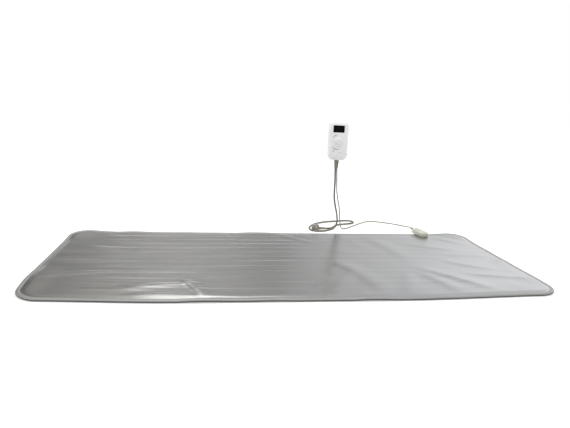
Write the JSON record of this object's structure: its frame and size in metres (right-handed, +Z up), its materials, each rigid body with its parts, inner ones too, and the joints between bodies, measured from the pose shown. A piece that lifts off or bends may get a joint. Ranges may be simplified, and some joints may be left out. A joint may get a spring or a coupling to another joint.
{
  "type": "infrared sauna blanket",
  "caption": "Flat padded far-infrared heating blanket with bound edges, a plug-in edge connector and a cabled hand controller with a dial, a push button and a mains plug.",
  "frame": {"origin": "centre of the mat's underside, on the surface it lies on", "axes": "+X along the mat's length towards the connector's end, +Y across the mat towards the connector's edge, +Z up"},
  "size_m": [1.8, 1.0821, 0.5243],
  "materials": {
    "silver_pvc": "satin, soft-touch embossed sheet",
    "binding_tape": "satin woven tape",
    "wadding": "matte fibre",
    "foil": "bright",
    "felt": "matte fibre",
    "carbon_wire": "matte",
    "red_wire": "satin",
    "blue_wire": "satin",
    "cream_plastic": "satin moulded",
    "white_plastic": "gloss moulded",
    "grey_plastic": "satin moulded",
    "dark_plastic": "satin moulded",
    "cord_plastic": "satin flexible",
    "black_window": "mirror-smooth tinted",
    "red_lens": "translucent",
    "board_green": "lacquered",
    "nickel": "bright"
  },
  "bodies": {
    "blanket": {"bottom_cover": "silver_pvc", "insulation_pad": "wadding", "reflective_film": "foil", "element_felt": "felt", "heating_wire": "carbon_wire", "thermal_cutout_1": "dark_plastic", "thermal_cutout_2": "dark_plastic", "temperature_sensor": "dark_plastic", "element_lead_live": "red_wire", "element_lead_neutral": "blue_wire", "top_cover": "silver_pvc", "edge_binding": "binding_tape", "socket_base": "cream_plastic", "socket_cover": "cream_plastic", "socket_contact_block": "grey_plastic", "socket_pin_live": "nickel", "socket_pin_neutral": "nickel", "socket_pin_sensor": "nickel", "socket_backing_plate": "grey_plastic", "socket_rivet_1": "nickel", "socket_rivet_2": "nickel"},
    "control_set": {"connector_lower_shell": "cream_plastic", "connector_upper_shell": "cream_plastic", "front_shell": "white_plastic", "rear_shell": "white_plastic", "connector_nose": "grey_plastic", "connector_boot": "grey_plastic", "rotary_encoder": "grey_plastic", "cable_clamp": "grey_plastic", "plug_insert": "grey_plastic", "display_module": "dark_plastic", "switch_body": "dark_plastic", "power_relay": "dark_plastic", "supply_transformer": "dark_plastic", "terminal_block": "dark_plastic", "mains_cord": "cord_plastic", "lead_cord": "cord_plastic", "mains_tail": "cord_plastic", "lead_tail": "cord_plastic", "strain_relief": "cord_plastic", "plug_body": "cord_plastic", "plug_boot": "cord_plastic", "display_window": "black_window", "lamp_lens": "red_lens", "circuit_board": "board_green", "connector_screw": "nickel", "fuse": "nickel", "case_screw_1": "nickel", "case_screw_2": "nickel", "case_screw_3": "nickel", "case_screw_4": "nickel", "clamp_screw_1": "nickel", "clamp_screw_2": "nickel", "plug_pin_live": "nickel", "plug_pin_neutral": "nickel", "plug_earth_clip_1": "nickel", "plug_earth_clip_2": "nickel"},
    "dial": {"temperature_dial": "white_plastic"},
    "button": {"mode_button": "white_plastic"},
    "power_switch": {"power_slide": "grey_plastic"}
  },
  "joints": [
    {"name": "connector_pull", "type": "slide", "parent": "blanket", "child": "control_set", "axis": [-0.1392, 0.9903, 0], "range_m": [0, 0.022]},
    {"name": "dial_turn", "type": "hinge", "parent": "control_set", "child": "dial", "pos_m": [0.28062, 0.48019, 0.429], "axis": [0.1392, 0.9903, 0], "range_deg": [0, 280]},
    {"name": "button_press", "type": "slide", "parent": "control_set", "child": "button", "axis": [0.1392, 0.9903, 0], "range_m": [0, 0.0015], "stiffness_N_per_m": 400, "springref_m": -0.002},
    {"name": "power_switch_slide", "type": "slide", "parent": "control_set", "child": "power_switch", "axis": [0, 0, 1], "range_m": [0, 0.004]}
  ]
}
